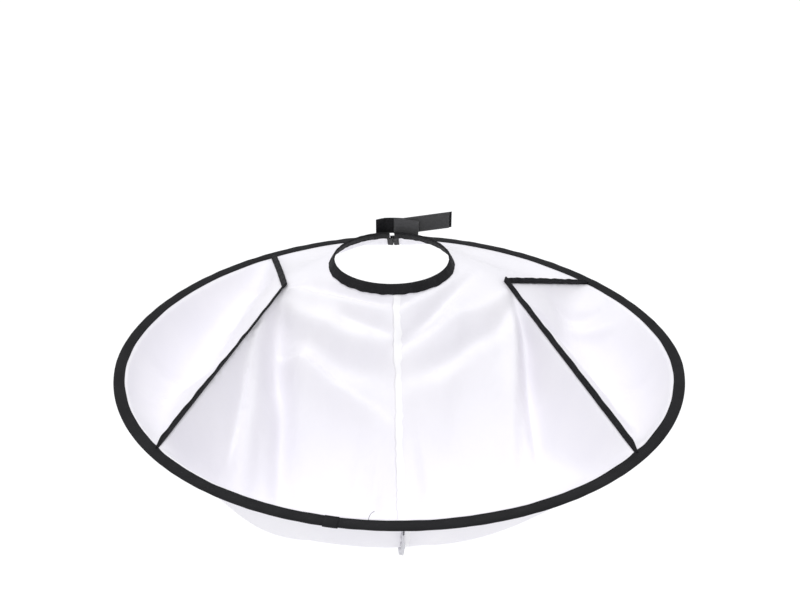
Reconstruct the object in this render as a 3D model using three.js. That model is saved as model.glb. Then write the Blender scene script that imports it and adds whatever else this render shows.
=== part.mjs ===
// Barber cape of the umbrella kind: a sprung wire hoop in black tape holds a white cloth
// open round the wearer's neck, so that the cloth makes a trough that catches cut hair.
//
// Units are millimetres. The geometry is worked out in a construction frame whose origin is the
// centre of the hoop: +Z up, +Y to the wearer's back and +X to the wearer's left. The group that is
// exported moves it so that the origin is the centre of the neck opening.
import * as THREE from 'three';

const rad = THREE.MathUtils.degToRad;
const vec = (x, y, z) => new THREE.Vector3(x, y, z);
const UP = vec(0, 0, 1);

// ---------------------------------------------------------------- driving dimensions

const HOOP_HALF_WIDTH = 370; // to the outer fold of the tape
const HOOP_HALF_DEPTH = 300;
// Exponent of the superellipse that the hoop follows: 2 is a true ellipse. The back panel pulls the
// back of the hoop a little pointed, and more so on the wearer's left.
const HOOP_FRONT_ROUNDNESS = 2;
const HOOP_BACK_ROUNDNESS = { left: 1.83, right: 1.9 };
const HOOP_STATIONS = 72;

const WIRE_RADIUS = 0.9;
const WIRE_GAP_DEG = 0.3; // between the wire's two ends, inside the ferrule
const FERRULE = { inner: 1.2, outer: 1.5, halfAngleDeg: 2 };

const TAPE = 0.8; // thickness of the hoop's tape
const TAPE_FOLD_RADIUS = 2.5; // the tape's middle surface, round the wire
const TAPE_REACH = 12; // from the wire's centre to the tape's inner edges
const TAPE_TIP_HALF = 1.5; // half the distance between those two edges
const TAPE_LIFT_DEG = 18; // the tape tips up towards the neck at the back
const JOIN_DEG = 257.5; // where the ends of the hoop's tape lap, and the wire's ends meet
const JOIN_HALF_DEG = 1.4;
const JOIN_STEP = 1.2; // how far the lapped end stands off the tape under it

const CLOTH = 0.8;
const CLOTH_IN_TAPE = 6; // the cloth's edge, from the wire's centre
const CLOTH_LEAVES_TAPE = 14.5;

const COLLAR_CENTRE = vec(-10, 119, 82);
const COLLAR_TOP = { a: 77, b: 60, z: 88 }; // the fold of the collar's tape
const COLLAR_LOW = { a: 83, b: 66, z: 76 }; // its lower edges
const COLLAR_TAPE = 0.6;
const COLLAR_EASE = 0.8; // between the folded tape and the cloth in it
const COLLAR_GAP_DEG = 3; // from the slit in the back to each end of the collar

const FRONT_DEG = 270.8; // where the front seam and the back slit meet the hoop
const BACK_DEG = 91.5;
const FRONT_SAG = 148; // the catch trough, below a straight line from collar to hoop
const FRONT_SAG_AT_SEAM = 90;
const FRONT_FULLNESS = { right: 5, left: 2.2 }; // the higher, the further round the trough stays deep
const BACK_SAG = 8;
const GUSSET_SAG = 85;
const GUSSET_CORNER_DEG = 1.5; // a gusset stops this far short of each corner
const HALF_FRONT_DEG = 57;

// Each side gusset is a triangle between two bound seams, which meet on the shoulder.
// front and back say where its seams meet the hoop, as angles round the hoop.
const SIDES = {
  right: { front: 214, back: 122, apex: vec(-157, 109, 46.5) },
  left: { front: 323.8, back: 41.5, apex: vec(143, 118, 48) },
};
const SEAM_TAPE = 0.6;
const SEAM_HALF = 1.4; // half the thickness of the folded tape's middle surface
const SEAM_HEIGHT = 9;
const SEAM_FOOT = 1.4; // clear of the cloth under it

const SLIT_TAPE = { half: 1.4, fold: 0.9, width: 8, clothEdge: 3, thickness: 0.6 };
const FRONT_SEAM = { depth: 10, foot: 1.2, half: 0.9, tape: 0.6 };

const CLOSURE_HEIGHT = 25; // width of the hook-and-loop tape
const CLOSURE_LOW = 80;
const STRAP = { offset: 5.4, thickness: 1.2, rootDeg: 108, leavesDeg: 78, reach: 66, slope: -0.12, rise: 0.24 };
const STRAP_ROOT = { step: 2.6, endsDeg: 98 }; // it is sewn to the collar, and steps out over the hooks and loops
const HOOK_TAPE = { offset: 3.9, thickness: 1, fromDeg: 88, short: 3 };
const LOOP_TAPE = { offset: 2.5, thickness: 1, fromDeg: 87, toDeg: 60 };

// ---------------------------------------------------------------- materials

const finish = (color, roughness, metalness = 0) =>
  new THREE.MeshStandardMaterial({ color, roughness, metalness });
const WHITE_CLOTH = finish(0xf4f3f8, 0.55);
const BLACK_TAPE = finish(0x17171b, 0.8);
const HOOK_AND_LOOP = finish(0x0e0e10, 0.95);
const SPRING_STEEL = finish(0x9a9da3, 0.35, 1);

// ---------------------------------------------------------------- curves

const power = (value, exponent) => Math.sign(value) * Math.abs(value) ** exponent;

/** A point of the wire, at an angle in degrees round the hoop from +X by way of the back. */
function hoopPoint(angle) {
  const c = Math.cos(rad(angle));
  const s = Math.sin(rad(angle));
  const side = c > 0 ? 'left' : 'right';
  const roundness = s > 0 ? HOOP_BACK_ROUNDNESS[side] : HOOP_FRONT_ROUNDNESS;
  const inset = TAPE_FOLD_RADIUS + TAPE / 2;
  return vec(
    (HOOP_HALF_WIDTH - inset) * power(c, 2 / roundness),
    (HOOP_HALF_DEPTH - inset) * power(s, 2 / roundness),
    0,
  );
}

/** The hoop's own directions there: along it, inward along the tape, and square to the tape. */
function hoopFrame(angle) {
  const along = hoopPoint(angle + 0.5).sub(hoopPoint(angle - 0.5)).normalize();
  const level = UP.clone().cross(along);
  const lift = rad(TAPE_LIFT_DEG) * Math.max(0, Math.sin(rad(angle))) ** 2;
  const inward = level.clone().multiplyScalar(Math.cos(lift)).addScaledVector(UP, Math.sin(lift));
  const square = along.clone().cross(inward).negate();
  return { along, inward, square };
}

/** A point by its distance inward from the wire's centre and its height off the tape's plane. */
function onTape(angle, inward, height) {
  const frame = hoopFrame(angle);
  return hoopPoint(angle).addScaledVector(frame.inward, inward).addScaledVector(frame.square, height);
}

class HoopStretch extends THREE.Curve {
  constructor(from, to) {
    super();
    this.from = from;
    this.to = to;
  }

  getPoint(t) {
    return hoopPoint(THREE.MathUtils.lerp(this.from, this.to, t));
  }
}

/** A point of an oval round the neck, in the direction phi (radians) from its centre. */
function ovalPoint({ a, b, z }, phi) {
  const radius = (a * b) / Math.hypot(b * Math.cos(phi), a * Math.sin(phi));
  return vec(COLLAR_CENTRE.x + radius * Math.cos(phi), COLLAR_CENTRE.y + radius * Math.sin(phi), z);
}

/** The collar band in direction phi: its fold, the way down it, and its outer side. */
function collarFrame(phi) {
  const fold = ovalPoint(COLLAR_TOP, phi);
  const down = ovalPoint(COLLAR_LOW, phi).sub(fold);
  const length = down.length();
  down.normalize();
  const along = ovalPoint(COLLAR_TOP, phi + 0.01).sub(ovalPoint(COLLAR_TOP, phi - 0.01)).normalize();
  const outer = along.clone().cross(UP).normalize();
  outer.addScaledVector(down, -outer.dot(down)).normalize();
  return { fold, down, length, outer };
}

const onCollar = (frame, down, off) =>
  frame.fold.clone().addScaledVector(frame.down, down).addScaledVector(frame.outer, off);

// ---------------------------------------------------------------- solids

/**
 * A closed solid sheet. rows[i][j] are the points of its middle surface, and its normal is
 * (along i) x (along j). A ring sheet joins its last row to its first.
 */
function sheet(rows, thickness, ring = false) {
  const count = rows.length;
  const width = rows[0].length;
  const row = (i) => (ring ? rows[(i + count) % count] : rows[THREE.MathUtils.clamp(i, 0, count - 1)]);
  const column = (i, j) => row(i)[THREE.MathUtils.clamp(j, 0, width - 1)];
  const position = [];
  for (let i = 0; i < count; i += 1) {
    for (let j = 0; j < width; j += 1) {
      const along = column(i + 1, j).clone().sub(column(i - 1, j));
      const across = column(i, j + 1).clone().sub(column(i, j - 1));
      const offset = along.cross(across).setLength(thickness / 2);
      position.push(...rows[i][j].clone().add(offset), ...rows[i][j].clone().sub(offset));
    }
  }
  const front = (i, j) => 2 * ((i % count) * width + j);
  const back = (i, j) => front(i, j) + 1;
  const index = [];
  const quad = (a, b, c, d) => index.push(a, b, c, a, c, d);
  const bays = ring ? count : count - 1;
  const last = width - 1;
  for (let i = 0; i < bays; i += 1) {
    for (let j = 0; j < last; j += 1) {
      quad(front(i, j), front(i + 1, j), front(i + 1, j + 1), front(i, j + 1));
      quad(back(i, j), back(i, j + 1), back(i + 1, j + 1), back(i + 1, j));
    }
    quad(front(i, 0), back(i, 0), back(i + 1, 0), front(i + 1, 0));
    quad(front(i, last), front(i + 1, last), back(i + 1, last), back(i, last));
  }
  for (let j = 0; j < last && !ring; j += 1) {
    quad(front(0, j), front(0, j + 1), back(0, j + 1), back(0, j));
    quad(front(count - 1, j), back(count - 1, j), back(count - 1, j + 1), front(count - 1, j + 1));
  }
  const geometry = new THREE.BufferGeometry();
  geometry.setAttribute('position', new THREE.Float32BufferAttribute(position, 3));
  geometry.setIndex(index);
  return geometry;
}

const cape = new THREE.Group();
cape.position.copy(COLLAR_CENTRE).negate();

function add(name, geometry, material) {
  const mesh = new THREE.Mesh(geometry, material);
  mesh.name = name;
  cape.add(mesh);
}

const spread = (from, to, steps) =>
  Array.from({ length: steps + 1 }, (_, i) => THREE.MathUtils.lerp(from, to, i / steps));

// ---------------------------------------------------------------- the hoop

function addWire() {
  const section = new THREE.Shape();
  section.absarc(0, 0, WIRE_RADIUS, 0, 2 * Math.PI);
  const path = new HoopStretch(JOIN_DEG + WIRE_GAP_DEG, JOIN_DEG + 360 - WIRE_GAP_DEG);
  const options = { steps: HOOP_STATIONS, curveSegments: 4, bevelEnabled: false, extrudePath: path };
  add('rim_wire', new THREE.ExtrudeGeometry(section, options), SPRING_STEEL);
}

function addFerrule() {
  const section = new THREE.Shape();
  section.absarc(0, 0, FERRULE.outer, 0, 2 * Math.PI);
  const hole = new THREE.Path();
  hole.absarc(0, 0, FERRULE.inner, 0, 2 * Math.PI, true);
  section.holes.push(hole);
  const path = new HoopStretch(JOIN_DEG - FERRULE.halfAngleDeg, JOIN_DEG + FERRULE.halfAngleDeg);
  const options = { steps: 4, curveSegments: 6, bevelEnabled: false, extrudePath: path };
  add('rim_wire_ferrule', new THREE.ExtrudeGeometry(section, options), SPRING_STEEL);
}

/** The folded tape's section at one place: from the tip of its lower leg, round the wire. */
function tapeSection(angle, step = 0) {
  const fold = TAPE_FOLD_RADIUS + step;
  const points = [onTape(angle, TAPE_REACH, -TAPE_TIP_HALF - step)];
  for (const turn of spread(-90, 90, 4)) {
    points.push(onTape(angle, -fold * Math.cos(rad(turn)), fold * Math.sin(rad(turn))));
  }
  points.push(onTape(angle, TAPE_REACH, TAPE_TIP_HALF + step));
  return points;
}

function addHoopTape() {
  const rows = spread(0, 360, HOOP_STATIONS).slice(0, -1).map((angle) => tapeSection(angle));
  add('rim_binding', sheet(rows, TAPE, true), BLACK_TAPE);
  const lap = spread(JOIN_DEG - JOIN_HALF_DEG, JOIN_DEG + JOIN_HALF_DEG, 2);
  add('rim_binding_join', sheet(lap.map((angle) => tapeSection(angle, JOIN_STEP)), TAPE), BLACK_TAPE);
}

// ---------------------------------------------------------------- the cloth

const directionOf = (point) => Math.atan2(point.y - COLLAR_CENTRE.y, point.x - COLLAR_CENTRE.x);

/** Where the cloth leaves the hoop's tape. */
const mouth = (angle) => onTape(angle, CLOTH_LEAVES_TAPE, 0);

/** How far a ray from the collar's centre goes, in plan, before it meets the line from p to q. */
function reachOf(phi, p, q) {
  const run = q.clone().sub(p);
  const from = p.clone().sub(COLLAR_CENTRE);
  return (from.x * run.y - from.y * run.x) / (Math.cos(phi) * run.y - Math.sin(phi) * run.x);
}

/** The point of a straight seam in direction phi, moved by some millimetres away from the neck. */
function seamPoint(phi, p, q, shift = 0) {
  const reach = reachOf(phi, p, q);
  const point = vec(COLLAR_CENTRE.x + reach * Math.cos(phi), COLLAR_CENTRE.y + reach * Math.sin(phi), 0);
  const share = Math.hypot(point.x - p.x, point.y - p.y) / Math.hypot(q.x - p.x, q.y - p.y);
  point.z = THREE.MathUtils.lerp(p.z, q.z, share);
  return point.add(vec(shift * Math.cos(phi), shift * Math.sin(phi), 0));
}

/** A hanging profile: 0 at both ends, 1 at its lowest place, and late or early as the powers say. */
function droop(s, rise, fall) {
  const lowest = rise / (rise + fall);
  return (s / lowest) ** rise * ((1 - s) / (1 - lowest)) ** fall;
}

/** Points from a to b that hang by sag below the straight line between them. */
function hanging(a, b, sag, rise, fall, steps) {
  return spread(0, 1, steps).map((s) => {
    const point = a.clone().lerp(b, s);
    point.z -= sag * droop(s, rise, fall);
    return point;
  });
}

/** One line of a body panel, from inside the collar's tape to its outer edge. */
function bodyLine(phi, outer, edge, sag) {
  const collar = collarFrame(phi);
  const start = onCollar(collar, collar.length + 2, 0);
  const inside = onCollar(collar, 3, 0);
  return [inside, ...hanging(start, outer, sag, 2.2, 1.1, 12), edge];
}

/** One half of the body, from the middle of the front over the shoulder to the middle of the back. */
function bodyRows(side) {
  const { front, back, apex } = SIDES[side];
  const turn = side === 'right' ? -1 : 1;
  const frontEnd = mouth(front);
  const backEnd = mouth(back);
  const rows = [];
  const atHoop = (angle, sag, shift = 0) => {
    const line = bodyLine(directionOf(mouth(angle)), mouth(angle), onTape(angle, CLOTH_IN_TAPE, 0), sag);
    rows.push(line.map((point) => point.add(vec(shift, 0, 0))));
  };
  const atSeam = (phi, far, sag) =>
    rows.push(bodyLine(phi, seamPoint(phi, apex, far, -3), seamPoint(phi, apex, far, -1), sag));
  for (const angle of spread(FRONT_DEG, front, 10).slice(0, -1)) {
    const share = Math.abs(angle - FRONT_DEG) / HALF_FRONT_DEG;
    const sag = FRONT_SAG - (FRONT_SAG - FRONT_SAG_AT_SEAM) * share ** FRONT_FULLNESS[side];
    atHoop(angle, sag, angle === FRONT_DEG ? turn : 0);
  }
  const unwrap = (phi) => (side === 'right' && phi < 0 ? phi + 2 * Math.PI : phi);
  const [phiFront, phiApex, phiBack] = [frontEnd, apex, backEnd].map((p) => unwrap(directionOf(p)));
  for (const share of spread(0, 1, 8).slice(0, -1)) {
    atSeam(THREE.MathUtils.lerp(phiFront, phiApex, share), frontEnd, FRONT_SAG_AT_SEAM * (1 - share) ** 1.5);
  }
  for (const share of spread(0, 1, 6)) {
    atSeam(THREE.MathUtils.lerp(phiApex, phiBack, share), backEnd, BACK_SAG * share);
  }
  for (const angle of spread(back, BACK_DEG, 6).slice(1)) {
    atHoop(angle, BACK_SAG, angle === BACK_DEG ? turn * SLIT_TAPE.clothEdge : 0);
  }
  return side === 'right' ? rows : rows.reverse();
}

/** A side gusset, from its front corner to its back corner. */
function gussetRows(side) {
  const { front, back, apex } = SIDES[side];
  const frontEnd = mouth(front);
  const backEnd = mouth(back);
  const [from, to] = side === 'right' ? [back, front] : [front - 360, back];
  const behindApex = (phi) => Math.sin(phi) > Math.sin(directionOf(apex));
  return spread(from + GUSSET_CORNER_DEG, to - GUSSET_CORNER_DEG, 18).map((angle, i) => {
    const outer = mouth(angle);
    const phi = directionOf(outer);
    const inner = seamPoint(phi, apex, behindApex(phi) ? backEnd : frontEnd, 1);
    const sag = GUSSET_SAG * Math.sin((Math.PI * i) / 18) ** 0.8;
    return [...hanging(inner, outer, sag, 1.3, 1.1, 8), onTape(angle, CLOTH_IN_TAPE, 0)];
  });
}

function addCloth() {
  for (const side of ['right', 'left']) {
    add(`body_panel_${side}`, sheet(bodyRows(side), CLOTH), WHITE_CLOTH);
    add(`side_gusset_${side}`, sheet(gussetRows(side), CLOTH), WHITE_CLOTH);
  }
}

// ---------------------------------------------------------------- the black bindings

/** Tape folded over a seam that stands up along the straight line from p to q. */
function seamTape(p, q) {
  const level = q.clone().sub(p).cross(UP).normalize();
  const section = [
    [-SEAM_HALF, SEAM_FOOT],
    [-SEAM_HALF, SEAM_HEIGHT - 1],
    [0, SEAM_HEIGHT],
    [SEAM_HALF, SEAM_HEIGHT - 1],
    [SEAM_HALF, SEAM_FOOT],
  ];
  const rows = spread(0.02, 0.98, 8).map((share) => {
    const foot = p.clone().lerp(q, share);
    return section.map(([off, up]) => foot.clone().addScaledVector(level, off).addScaledVector(UP, up));
  });
  return sheet(rows, SEAM_TAPE);
}

function addSeamTapes() {
  for (const side of ['right', 'left']) {
    const { front, back, apex } = SIDES[side];
    add(`seam_binding_${side}_front`, seamTape(apex, mouth(front)), BLACK_TAPE);
    add(`seam_binding_${side}_back`, seamTape(apex, mouth(back)), BLACK_TAPE);
  }
}

function addCollarTape() {
  const half = COLLAR_TAPE / 2 + CLOTH / 2 + COLLAR_EASE;
  const from = 90 + COLLAR_GAP_DEG;
  const rows = spread(from, from + 360 - 2 * COLLAR_GAP_DEG, 48).map((degrees) => {
    const collar = collarFrame(rad(degrees));
    const section = [[collar.length, -half], [0.6, -half], [-0.5, 0], [0.6, half], [collar.length, half]];
    return section.map(([down, off]) => onCollar(collar, down, off));
  });
  add('collar_binding', sheet(rows, COLLAR_TAPE), BLACK_TAPE);
}

/** Sections of a folded tape along a line of the cloth: each is [sideways in X, square to the cloth]. */
function tapeAlong(line, section) {
  return line.map((point, i) => {
    const next = line[Math.min(i + 1, line.length - 1)];
    const last = line[Math.max(i - 1, 0)];
    const below = vec(-1, 0, 0).cross(next.clone().sub(last)).normalize();
    if (below.z > 0) below.negate();
    return section.map(([off, down]) => point.clone().add(vec(off, 0, 0)).addScaledVector(below, down));
  });
}

/** The middle line of the cloth at one angle of the hoop, from the collar's tape to the hoop's tape. */
function clothLine(angle, sag) {
  const line = bodyLine(directionOf(mouth(angle)), mouth(angle), onTape(angle, CLOTH_IN_TAPE, 0), sag).slice(1, -1);
  line[0].lerp(line[1], 0.15);
  line.at(-1).lerp(line.at(-2), 0.15);
  return line;
}

/** Tape folded over each edge of the slit that opens the back, from the collar to the hoop. */
function addSlitTapes() {
  const { half, fold, width, thickness } = SLIT_TAPE;
  for (const [side, turn] of [['right', -1], ['left', 1]]) {
    const section = [[width, half], [fold + 0.6, half], [fold, 0], [fold + 0.6, -half], [width, -half]];
    const sided = section.map(([off, down]) => [turn * off, down]);
    const rows = tapeAlong(clothLine(BACK_DEG, BACK_SAG), sided);
    add(`slit_binding_${side}`, sheet(rows, thickness), BLACK_TAPE);
  }
}

/** Tape folded over the raw edges of the front seam, which stand down under the cloth. */
function addFrontSeamTape() {
  const { depth, foot, half, tape } = FRONT_SEAM;
  const section = [[-half, foot], [-half, depth - 1], [0, depth], [half, depth - 1], [half, foot]];
  add('front_seam_binding', sheet(tapeAlong(clothLine(FRONT_DEG, FRONT_SAG), section), tape), WHITE_CLOTH);
}

// ---------------------------------------------------------------- the closure at the back of the neck

const strapOval = (offset) => ({ a: COLLAR_LOW.a + offset, b: COLLAR_LOW.b + offset, z: CLOSURE_LOW });

/** The line of the strap: round the collar from one angle, and then straight out past the neck. */
function strapLine(offset, fromDeg, short) {
  const points = spread(fromDeg, STRAP.leavesDeg, 6).map((degrees) => {
    const toRoot = (degrees - STRAP_ROOT.endsDeg) / (STRAP.rootDeg - STRAP_ROOT.endsDeg);
    return ovalPoint(strapOval(offset - STRAP_ROOT.step * Math.max(0, toRoot)), rad(degrees));
  });
  const leaves = points.at(-1).clone();
  for (const run of spread(0, STRAP.reach - short, 4).slice(1)) {
    points.push(leaves.clone().add(vec(run, STRAP.slope * run, STRAP.rise * run)));
  }
  return points;
}

function band(points, thickness) {
  const rows = points.map((point) => [point, point.clone().addScaledVector(UP, CLOSURE_HEIGHT)]);
  return sheet(rows, thickness);
}

function addClosure() {
  add('closure_strap', band(strapLine(STRAP.offset, STRAP.rootDeg, 0), STRAP.thickness), BLACK_TAPE);
  const hooks = strapLine(HOOK_TAPE.offset, HOOK_TAPE.fromDeg, HOOK_TAPE.short);
  add('closure_hook_tape', band(hooks, HOOK_TAPE.thickness), HOOK_AND_LOOP);
  const loops = spread(LOOP_TAPE.fromDeg, LOOP_TAPE.toDeg, 6)
    .map((degrees) => ovalPoint(strapOval(LOOP_TAPE.offset), rad(degrees)));
  add('closure_loop_tape', band(loops, LOOP_TAPE.thickness), HOOK_AND_LOOP);
}

addWire();
addFerrule();
addHoopTape();
addCloth();
addSeamTapes();
addCollarTape();
addSlitTapes();
addFrontSeamTape();
addClosure();

export default cape;
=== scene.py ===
"""Looks of an umbrella barber cape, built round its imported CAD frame.

A sprung wire hoop in black tape holds a white cloth open round the wearer's neck. Lengths are in
metres. Shapes are worked out from the centre of the hoop, with +Y to the wearer's back and +X to the
wearer's left, and new_piece() moves them so that the origin is the centre of the neck opening.
"""

import math

import bpy
import numpy as np
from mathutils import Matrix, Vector
from mathutils.geometry import delaunay_2d_cdt
from mathutils.kdtree import KDTree


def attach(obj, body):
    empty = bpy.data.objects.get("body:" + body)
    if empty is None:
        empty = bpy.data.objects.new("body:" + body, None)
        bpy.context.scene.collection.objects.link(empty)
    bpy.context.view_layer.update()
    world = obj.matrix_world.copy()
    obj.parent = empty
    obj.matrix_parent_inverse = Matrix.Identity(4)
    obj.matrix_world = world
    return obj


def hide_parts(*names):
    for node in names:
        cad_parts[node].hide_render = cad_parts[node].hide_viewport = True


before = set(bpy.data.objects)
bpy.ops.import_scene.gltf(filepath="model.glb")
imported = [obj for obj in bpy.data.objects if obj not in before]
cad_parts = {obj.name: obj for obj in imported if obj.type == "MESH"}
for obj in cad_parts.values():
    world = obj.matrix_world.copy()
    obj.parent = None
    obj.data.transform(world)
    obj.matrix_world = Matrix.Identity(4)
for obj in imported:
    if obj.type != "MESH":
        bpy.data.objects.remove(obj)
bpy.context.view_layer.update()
rng = np.random.default_rng(7)

MM = 0.001
UP = np.array((0.0, 0.0, 1.0))

# ---------------------------------------------------------------- driving dimensions

NECK = np.array((-10, 119, 82)) * MM  # centre of the neck opening, from the centre of the hoop

HOOP_HALF_WIDTH = 370 * MM  # to the outer fold of the tape
HOOP_HALF_DEPTH = 300 * MM
HOOP_FRONT_ROUNDNESS = 2  # exponents of the superellipse that the hoop follows
HOOP_BACK_ROUNDNESS_LEFT = 1.83
HOOP_BACK_ROUNDNESS_RIGHT = 1.9
HOOP_STATIONS = 720
SEAM_STATIONS = 141
EDGING_STATIONS = 161
SLIT_STATIONS = 61

WIRE_RADIUS = 0.9 * MM
FERRULE_RADIUS = 1.5 * MM
FERRULE_HALF_DEG = 2
TAPE_INSET = 2.9 * MM  # from the outer fold of the tape to the wire's centre
TAPE_FOLD_RADIUS = 2.5 * MM
TAPE_THICKNESS = 0.7 * MM
TAPE_REACH = 12 * MM  # from the wire's centre to the tape's inner edges
TAPE_TIP_HALF = 1.1 * MM
TAPE_SEWN_AT = 2 * MM  # the stitching, in from the tape's inner edges
TAPE_LIFT_DEG = 18  # the tape tips up towards the neck at the back
JOIN_DEG = 257.5  # where the ends of the hoop's tape lap
JOIN_HALF_DEG = 1.4
JOIN_STEP = 1.0 * MM
LOOSE_THREAD_DEG = 264.3
WIRE_GAP_DEG = 0.3  # on either side of the ferrule's middle

CLOTH_THICKNESS = 0.4 * MM
CLOTH_IN_TAPE = 6.5 * MM  # the cloth's edge, from the wire's centre
CLOTH_LEAVES_TAPE = 14.5 * MM
CLOTH_GRID = 5 * MM

COLLAR_TOP = (77 * MM, 60 * MM, 88 * MM)  # half width, half depth and height of the collar's fold
COLLAR_LOW = (83 * MM, 66 * MM, 76 * MM)  # and of its lower edges
COLLAR_TAPE = 0.6 * MM
COLLAR_HALF = 1.2 * MM  # from the middle of the folded tape's section to its faces
COLLAR_HEM = 9 * MM  # how far the cloth goes up inside the collar's tape
COLLAR_GAP_DEG = 3

FRONT_DEG = 270.8  # where the front seam and the back slit meet the hoop
BACK_DEG = 91.5
FRONT_SAG = 148 * MM
FRONT_SAG_AT_SEAM = 90 * MM
FRONT_FULLNESS_RIGHT = 5  # the higher, the further round the trough stays deep
FRONT_FULLNESS_LEFT = 2.2
HALF_FRONT_DEG = 57  # from the front seam to a side seam, about
BACK_SAG = 8 * MM
GUSSET_SAG = 85 * MM
SLIT_HALF = 3 * MM  # from the middle of the slit to the cloth's edge in its binding

SIDES = {
    "right": {"front": 214, "back": 122, "apex": np.array((-157, 109, 46.5)) * MM},
    "left": {"front": 323.8, "back": 41.5, "apex": np.array((143, 118, 48)) * MM},
}
SEAM_HEIGHT = 9 * MM
SEAM_HALF = 1.1 * MM
SEAM_TAPE = 0.6 * MM
SEAM_ALLOWANCE = 9 * MM  # where the cloth lies double beside the front seam
EDGING_HEIGHT = 10 * MM
EDGING_HALF = 0.8 * MM
EDGING_TAPE = 0.5 * MM

CLOSURE_HEIGHT = 25 * MM
CLOSURE_LOW = 80 * MM
STRAP_OFFSET = 5.4 * MM  # out from the collar's lower edges
STRAP_THICKNESS = 1.2 * MM
STRAP_ROOT_DEG = 108
STRAP_STEP_ENDS_DEG = 98
STRAP_STEP = 2.6 * MM
STRAP_LEAVES_DEG = 78
STRAP_REACH = 66 * MM
STRAP_SLOPE = -0.12
STRAP_RISE = 0.24
HOOK_OFFSET = 3.9 * MM
HOOK_FROM_DEG = 88
HOOK_SHORT = 3 * MM
LOOP_OFFSET = 2.5 * MM
LOOP_FROM_DEG = 87
LOOP_TO_DEG = 60
LINING_THICKNESS = 1.0 * MM
CLOSURE_OVAL = (*COLLAR_LOW[:2], CLOSURE_LOW)
CLOSURE_STATIONS = 40

# ---------------------------------------------------------------- the hoop's and the collar's curves


def power(value, exponent):
    return np.sign(value) * np.abs(value) ** exponent


def hoop_point(angle):
    """Points of the wire at angles in degrees round the hoop, from +X by way of the back."""
    turn = np.radians(np.atleast_1d(np.asarray(angle, float)))
    c, s = np.cos(turn), np.sin(turn)
    back = np.where(c > 0, HOOP_BACK_ROUNDNESS_LEFT, HOOP_BACK_ROUNDNESS_RIGHT)
    roundness = np.where(s > 0, back, HOOP_FRONT_ROUNDNESS)
    x = (HOOP_HALF_WIDTH - TAPE_INSET) * power(c, 2 / roundness)
    y = (HOOP_HALF_DEPTH - TAPE_INSET) * power(s, 2 / roundness)
    return np.stack([x, y, np.zeros_like(x)], axis=1)


def unit(vectors):
    return vectors / np.linalg.norm(vectors, axis=-1, keepdims=True)


def lengths_along(line):
    """How far along a line each of its points is."""
    return np.concatenate([[0], np.cumsum(np.linalg.norm(np.diff(line, axis=0), axis=1))])


def resampled(values, run, at):
    """Rows of values that are known at the lengths run, worked out at the lengths at."""
    return np.stack([np.interp(at, run, column) for column in values.T], axis=1)


def hoop_frame(angle):
    """Directions along the hoop, inward along its tape, and square to the tape on its upper side."""
    angle = np.atleast_1d(np.asarray(angle, float))
    along = unit(hoop_point(angle + 0.5) - hoop_point(angle - 0.5))
    level = np.cross(UP, along)
    lift = np.radians(TAPE_LIFT_DEG) * np.maximum(0, np.sin(np.radians(angle))) ** 2
    inward = level * np.cos(lift)[:, None] + UP * np.sin(lift)[:, None]
    return along, inward, np.cross(along, inward)


def on_tape(angle, inward, height=0.0):
    """Points by their distance inward from the wire's centre and their height off the tape's plane."""
    _, inner, square = hoop_frame(angle)
    inward = np.broadcast_to(inward, len(inner))[:, None]
    height = np.broadcast_to(height, len(inner))[:, None]
    return hoop_point(angle) + inner * inward + square * height


def oval_point(oval, phi, offset=0.0):
    """Points of an oval round the neck in the directions phi, in radians."""
    a, b, z = oval
    phi = np.atleast_1d(np.asarray(phi, float))
    a, b = a + offset, b + offset
    radius = a * b / np.hypot(b * np.cos(phi), a * np.sin(phi))
    x = NECK[0] + radius * np.cos(phi)
    y = NECK[1] + radius * np.sin(phi)
    return np.stack([x, y, np.broadcast_to(z, x.shape)], axis=1)


def collar_frame(phi):
    """The collar's fold, the way down it, its depth and its outer side, in the directions phi."""
    fold = oval_point(COLLAR_TOP, phi)
    down = oval_point(COLLAR_LOW, phi) - fold
    depth = np.linalg.norm(down, axis=1)
    down = unit(down)
    along = unit(oval_point(COLLAR_TOP, phi + 0.01) - oval_point(COLLAR_TOP, phi - 0.01))
    outer = unit(np.cross(along, UP))
    outer = unit(outer - down * np.sum(outer * down, axis=1)[:, None])
    return fold, down, depth, outer


def bearing(points):
    """Directions of points from the collar's centre, in plan."""
    points = np.atleast_2d(points)
    return np.arctan2(points[:, 1] - NECK[1], points[:, 0] - NECK[0])


def reach_of(points):
    """Distances of points from the collar's centre, in plan."""
    return np.hypot(points[:, 0] - NECK[0], points[:, 1] - NECK[1])


# The hoop as a table by its angle, so that a direction from the neck can be turned into an angle.
ROUND = np.linspace(0, 360, 1441)
MOUTH = on_tape(ROUND, CLOTH_LEAVES_TAPE)
MOUTH_BEARING = np.unwrap(bearing(MOUTH))


def hoop_angle(phi):
    """The hoop's angle in the directions phi from the collar's centre."""
    return np.interp((phi - MOUTH_BEARING[0]) % (2 * np.pi) + MOUTH_BEARING[0], MOUTH_BEARING, ROUND)


def mouth(angle):
    """Where the cloth leaves the hoop's tape."""
    return on_tape(angle, CLOTH_LEAVES_TAPE)


def smooth(value, low, high):
    """0 below low, 1 above high, and an S between."""
    t = np.clip((value - low) / (high - low), 0, 1)
    return t * t * (3 - 2 * t)


def spline(knots, count):
    """Points of a smooth curve through the knots."""
    knots = np.asarray(knots, float)
    padded = np.vstack([2 * knots[0] - knots[1], knots, 2 * knots[-1] - knots[-2]])
    place = np.linspace(0, len(knots) - 1, count)
    i = np.minimum(place.astype(int), len(knots) - 2)
    t = (place - i)[:, None]
    p0, p1, p2, p3 = (padded[i + k] for k in range(4))
    return 0.5 * (2 * p1 + (p2 - p0) * t + (2 * p0 - 5 * p1 + 4 * p2 - p3) * t**2
                  + (3 * p1 - p0 - 3 * p2 + p3) * t**3)


# ---------------------------------------------------------------- materials


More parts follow.
